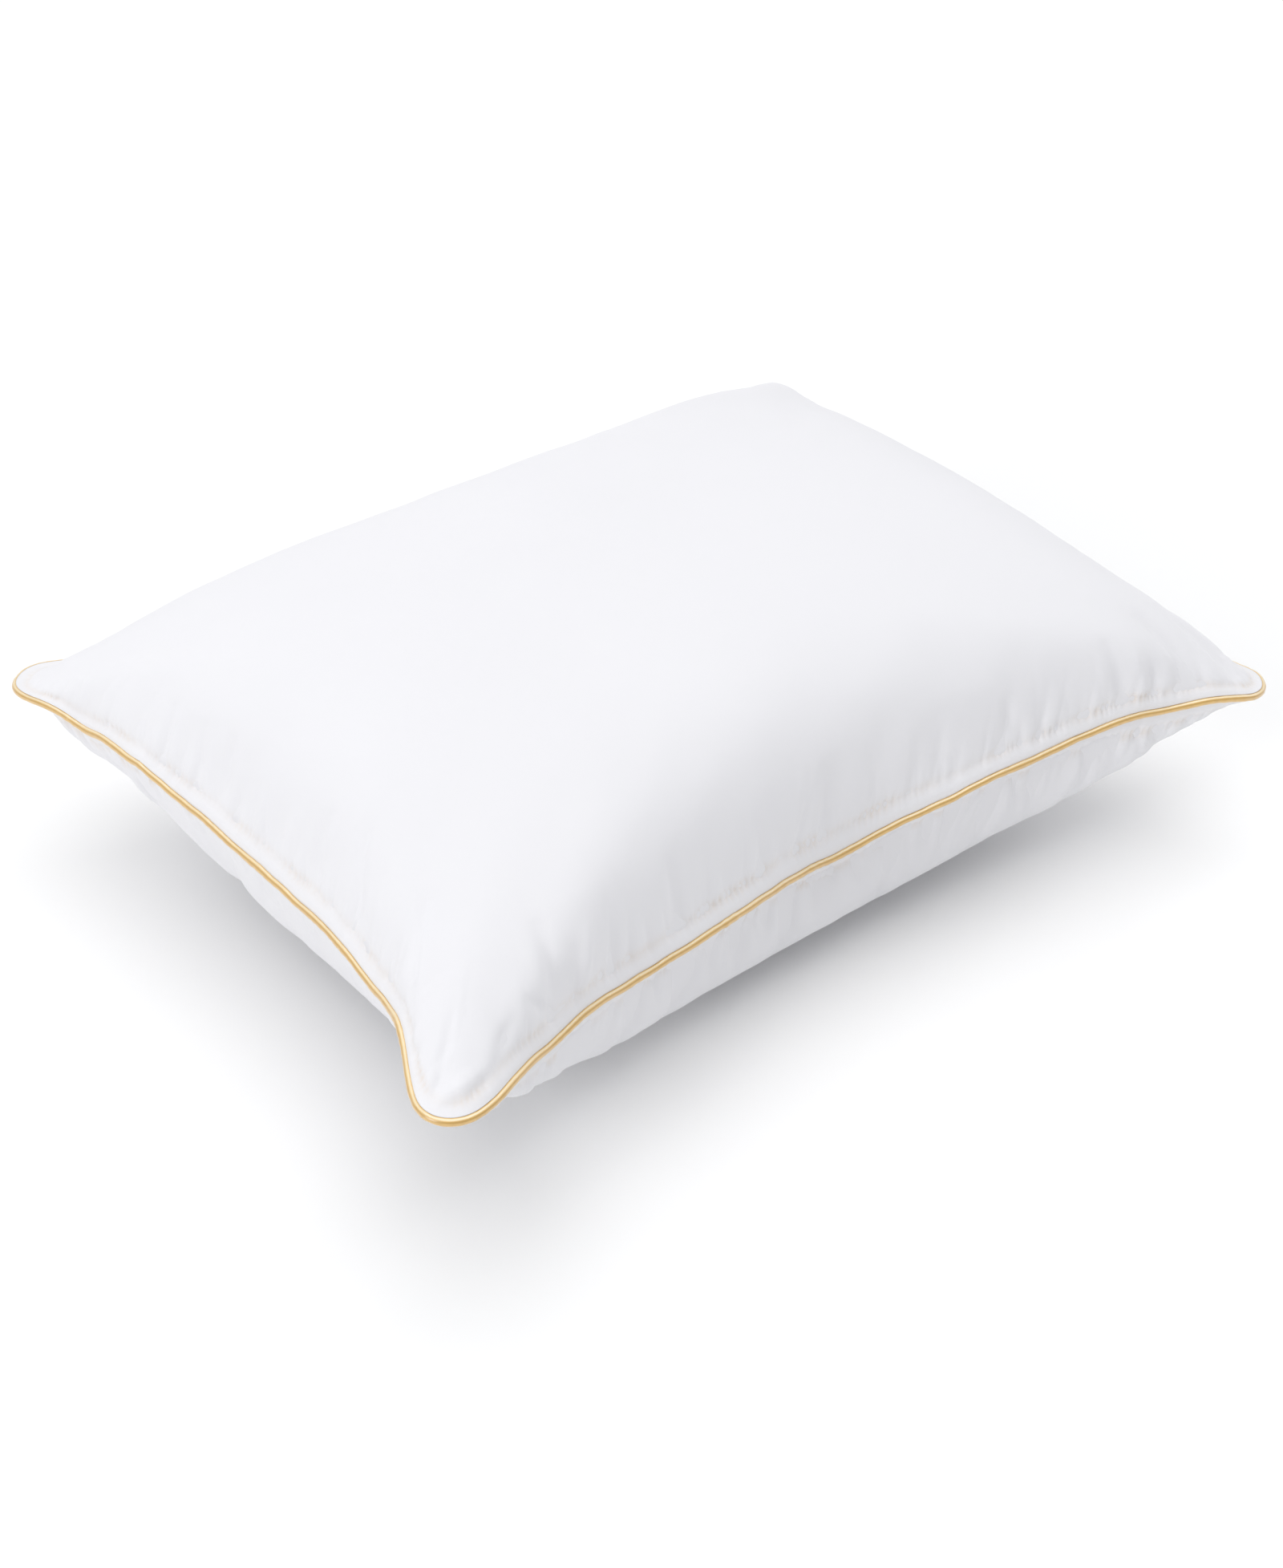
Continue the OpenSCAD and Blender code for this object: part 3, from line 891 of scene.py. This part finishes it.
def filling(edge, casing):
    """Down and feather: one soft, clumpy body just inside the cotton."""
    inset = ALLOWANCE + 0.003
    flat, tris, edge_n = flat_mesh(0.007, inset)
    clumps, clump_depth, clear = 420, 0.003, 0.0036
    layers = []
    for side in (1, -1):
        place = casing.place(edge, flat, side)
        outward = vertex_normals(place, tris) * side
        clump = np.zeros(len(flat))
        draw = np.random.default_rng(CLUMP_SEEDS[side])
        for _ in range(clumps):
            x, y = draw.uniform(-HALF_L, HALF_L), draw.uniform(-HALF_W, HALF_W)
            r = draw.uniform(0.008, 0.02)
            far = ((flat[:, 0] - x) ** 2 + (flat[:, 1] - y) ** 2) / r**2
            clump = np.maximum(clump, np.exp(-far))
        inward = COTTON_T + clear + clump_depth * (1 - clump)
        layers.append(place - outward * inward[:, None])
    n = len(flat)
    faces = [tuple(f) for f in tris] + [tuple(f) for f in (tris + n)[:, ::-1]]
    for k in range(edge_n):
        j = (k + 1) % edge_n
        faces.append((j, k, n + k, n + j))
    return make_object("down_filling", np.concatenate(layers), faces)


# ---------------------------------------------------------------- materials
class Look:
    """A node material with short calls for what the materials here share."""

    def __init__(self, name, color, roughness, **settings):
        self.material = bpy.data.materials.new(name)
        self.material.use_nodes = True
        self.nodes = self.material.node_tree.nodes
        self.links = self.material.node_tree.links
        self.shader = self.nodes["Principled BSDF"]
        self.shader.inputs["Base Color"].default_value = (*color, 1)
        self.shader.inputs["Roughness"].default_value = roughness
        for socket, value in settings.items():
            self.shader.inputs[socket.replace("_", " ")].default_value = value
        self.height = None

    def node(self, kind, links=(), **settings):
        """A node with its own settings, or the values of its sockets, and its links in."""
        node = self.nodes.new(kind)
        for key, value in settings.items():
            if hasattr(node, key):
                setattr(node, key, value)
            else:
                node.inputs[key.replace("_", " ")].default_value = value
        for socket, source in dict(links).items():
            self.links.new(source, node.inputs[socket])
        return node

    def place(self, scale=(1, 1, 1), turn=0.0, of="UV"):
        coordinates = self.node("ShaderNodeTexCoord")
        mapping = self.node("ShaderNodeMapping", {"Vector": coordinates.outputs[of]})
        mapping.inputs["Scale"].default_value = scale
        mapping.inputs["Rotation"].default_value = (0, 0, turn)
        return mapping.outputs[0]

    def noise(self, scale, detail=2.0, of="Object", stretch=(1, 1, 1)):
        at = self.place(stretch, of=of)
        node = self.node("ShaderNodeTexNoise", {"Vector": at}, Scale=scale, Detail=detail)
        return node.outputs["Fac"]

    def stripes(self, scale, turn=0.0, of="UV"):
        """Fine parallel threads."""
        at = self.place(of=of, turn=turn)
        node = self.node("ShaderNodeTexWave", {"Vector": at}, Scale=scale, Distortion=0.0)
        return node.outputs["Fac"]

    def mix(self, share, a, b):
        node = self.node("ShaderNodeMix", data_type="RGBA")
        self.links.new(share, node.inputs["Factor"])
        for socket, value in ((6, a), (7, b)):
            if isinstance(value, tuple):
                node.inputs[socket].default_value = (*value, 1)
            else:
                self.links.new(value, node.inputs[socket])
        return node.outputs[2]

    def math(self, operation, a, b=0.0):
        node = self.node("ShaderNodeMath", operation=operation)
        for socket, value in ((0, a), (1, b)):
            if isinstance(value, (int, float)):
                node.inputs[socket].default_value = value
            else:
                self.links.new(value, node.inputs[socket])
        return node.outputs[0]

    def band(self, value, middle, half):
        """Strongest at the middle of a band of values, falling to 0 at half its width away."""
        off = self.math("ABSOLUTE", self.math("SUBTRACT", value, middle))
        node = self.node("ShaderNodeMapRange", {"Value": off}, interpolation_type="SMOOTHSTEP")
        node.inputs["From Max"].default_value = half
        node.inputs["To Min"].default_value = 0.85
        node.inputs["To Max"].default_value = 0.0
        return node.outputs[0]

    def bump(self, height, distance, strength=1.0):
        """Adds a finer relief over those already there."""
        node = self.node("ShaderNodeBump", {"Height": height}, Strength=strength, Distance=distance)
        if self.height is not None:
            self.links.new(self.height, node.inputs["Normal"])
        self.height = node.outputs[0]
        self.links.new(self.height, self.shader.inputs["Normal"])

    def color(self, source):
        self.links.new(source, self.shader.inputs["Base Color"])


def thread_scale(width):
    """Scale of the stripes for threads of this width."""
    return 1 / width / 2


def cotton_look():
    """Tight white down-proof cotton, with a tan tint by the seam: the gold flange showing faintly
    through, and painted shade in the groove there.
    """
    look = Look("cotton_cloth", (0.82, 0.815, 0.838), 0.85, Sheen_Weight=0.12, Sheen_Roughness=0.5)
    tone = look.mix(look.noise(9, 3), (0.812, 0.808, 0.832), (0.838, 0.833, 0.856))
    # Tan by the seam: painted shade in the groove's dips, partly the gold flange showing through
    # the cotton
    flange_and_shade = look.node("ShaderNodeAttribute", attribute_name="flange_and_groove_shade").outputs["Fac"]
    mottle = look.math("ADD", look.math("MULTIPLY", look.noise(420, 1), 0.8), 0.25)
    share = look.math("MULTIPLY", look.math("MULTIPLY", flange_and_shade, mottle), 0.50)
    look.color(look.mix(share, tone, (0.72, 0.56, 0.38)))
    threads = thread_scale(0.00035)
    weave = look.math("ADD", look.stripes(threads), look.stripes(threads, math.pi / 2))
    look.bump(weave, 0.00005, 0.3)
    look.bump(look.noise(350, 3), 0.0002, 0.35)
    look.bump(look.noise(55, 2), 0.0010, 0.10)
    return look.material


def satin_look():
    """Gold bias-cut satin, with threads at half a right angle to the cord."""
    gloss = dict(Specular_IOR_Level=0.8, Coat_Weight=1.0, Coat_Roughness=0.3, Coat_IOR=1.8)
    look = Look("gold_satin", (0.70, 0.43, 0.11), 0.40, Sheen_Weight=0.3, **gloss)
    tone = look.mix(look.noise(300, 2), (0.62, 0.345, 0.050), (0.80, 0.50, 0.105))
    # Across the strip: a painted cream highlight on the shoulder of the cord, then a painted dark
    # line of shade below it
    across = look.node("ShaderNodeSeparateXYZ", {"Vector": look.place()}).outputs["Y"]
    tone = look.mix(look.band(across, 0.0152, 0.0011), tone, (0.94, 0.80, 0.52))
    tone = look.mix(look.band(across, 0.0167, 0.0008), tone, (0.52, 0.29, 0.045))
    look.color(tone)
    look.bump(look.stripes(thread_scale(0.0006), math.pi / 4), 0.00006, 0.5)
    look.bump(look.noise(500, 2, "UV", (1, 0.25, 1)), 0.0002, 0.4)
    return look.material


def thread_look(name, color, across=0.0004):
    look = Look(name, color, 0.5, Sheen_Weight=0.1)
    dark = tuple(c * 0.86 for c in color)
    look.color(look.mix(look.noise(1 / across, 1), dark, color))
    look.bump(look.noise(1 / across, 2), 0.00005, 0.6)
    return look.material


def down_look():
    look = Look("down_clumps", (0.84, 0.82, 0.78), 0.95, Sheen_Weight=0.4, Sheen_Roughness=0.6)
    look.color(look.mix(look.noise(60, 4), (0.74, 0.72, 0.68), (0.90, 0.89, 0.86)))
    look.bump(look.noise(120, 6), 0.003, 0.8)
    return look.material


def label_look():
    look = Look("label_satin", (0.86, 0.86, 0.86), 0.45)
    look.color(look.mix(look.noise(200, 2), (0.82, 0.82, 0.82), (0.88, 0.88, 0.88)))
    look.bump(look.stripes(thread_scale(0.0003)), 0.00004, 0.4)
    return look.material


def floor_look():
    look = Look("studio_floor", (0.93, 0.93, 0.93), 0.9, Specular_IOR_Level=0.1)
    look.color(look.mix(look.noise(2, 1), (0.925, 0.925, 0.925), (0.935, 0.935, 0.935)))
    return look.material


# ---------------------------------------------------------------- studio
def studio():
    """Pale floor and soft light. The lamps are turned with the camera's azimuth."""
    scene = bpy.context.scene
    scene.view_settings.view_transform = "Standard"
    mesh = bpy.data.meshes.new("studio_floor")
    signs = ((-1, -1), (1, -1), (1, 1), (-1, 1))
    corners = [(x * FLOOR_HALF, y * FLOOR_HALF, 0) for x, y in signs]
    mesh.from_pydata(corners, [], [(0, 1, 2, 3)])
    floor = bpy.data.objects.new("studio_floor", mesh)
    scene.collection.objects.link(floor)
    floor.location.z = -0.0005
    mesh.materials.append(floor_look())

    world = bpy.data.worlds.new("studio")
    world.use_nodes = True
    background = world.node_tree.nodes["Background"]
    background.inputs[0].default_value = (*SKY_COLOR, 1)
    background.inputs[1].default_value = SKY_STRENGTH
    scene.world = world

    turn = math.radians(VIEW_AZIMUTH)
    for name, (right, ahead, up), energy, width in LAMPS:
        lamp = bpy.data.lights.new(name, "SUN")
        lamp.energy = energy
        lamp.angle = math.radians(width)
        lamp_object = bpy.data.objects.new(name, lamp)
        across = right * math.cos(turn) - ahead * math.sin(turn)
        along = right * math.sin(turn) + ahead * math.cos(turn)
        lamp_object.rotation_mode = "QUATERNION"
        lamp_object.rotation_quaternion = Vector((across, along, up)).to_track_quat("Z", "Y")
        scene.collection.objects.link(lamp_object)


def camera():
    """Looks down on the near corner, from as far off as the lens needs."""
    azimuth, elevation = math.radians(VIEW_AZIMUTH), math.radians(VIEW_ELEVATION)
    back = Vector(
        (
            math.sin(azimuth) * math.cos(elevation),
            -math.cos(azimuth) * math.cos(elevation),
            math.sin(elevation),
        )
    )
    data = bpy.data.cameras.new("camera")
    data.lens = LENS
    data.sensor_width = 36.0
    eye = bpy.data.objects.new("camera", data)
    eye.location = Vector(VIEW_TARGET) + back * VIEW_DISTANCE
    eye.rotation_mode = "QUATERNION"
    eye.rotation_quaternion = back.to_track_quat("Z", "Y")
    bpy.context.scene.collection.objects.link(eye)
    bpy.context.scene.camera = eye


# ---------------------------------------------------------------- the whole pillow
camera()
studio()

edge = Edge()
casing = Casing(edge, *inflate())
seam = Seam(edge, casing)
cotton = cotton_look()
gold_thread = thread_look("gold_thread", (0.70, 0.47, 0.18))
white_thread = thread_look("white_thread", (0.90, 0.90, 0.90))
cord_cotton = thread_look("cord_cotton", (0.85, 0.82, 0.74), 0.001)
tape, tape_flat = care_label(edge, seam)

for piece, node, slot, material in (
    (panel("top_panel_cloth", edge, casing, seam, 1), "top_panel", "cotton", cotton),
    (panel("bottom_panel_cloth", edge, casing, seam, -1), "bottom_panel", "cotton", cotton),
    (piping_cover(edge, seam), "piping_cover", "gold_satin", satin_look()),
    (piping_cord(edge, seam), "piping_cord", "cord", cord_cotton),
    (piping_threads(edge, seam), "piping_stitching", "gold_thread", gold_thread),
    (seam_threads(edge, seam), "seam_stitching", "white_thread", white_thread),
    (overlock(edge, seam), "overlock_stitching", "white_thread", white_thread),
    (closing_stitches(edge, casing, seam), "closing_stitching", "white_thread", white_thread),
    (filling(edge, casing), "fill", "down", down_look()),
    (tape, "care_label", "label", label_look()),
):
    piece.data.materials.append(material)
    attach(piece, "root")
    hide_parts(node)
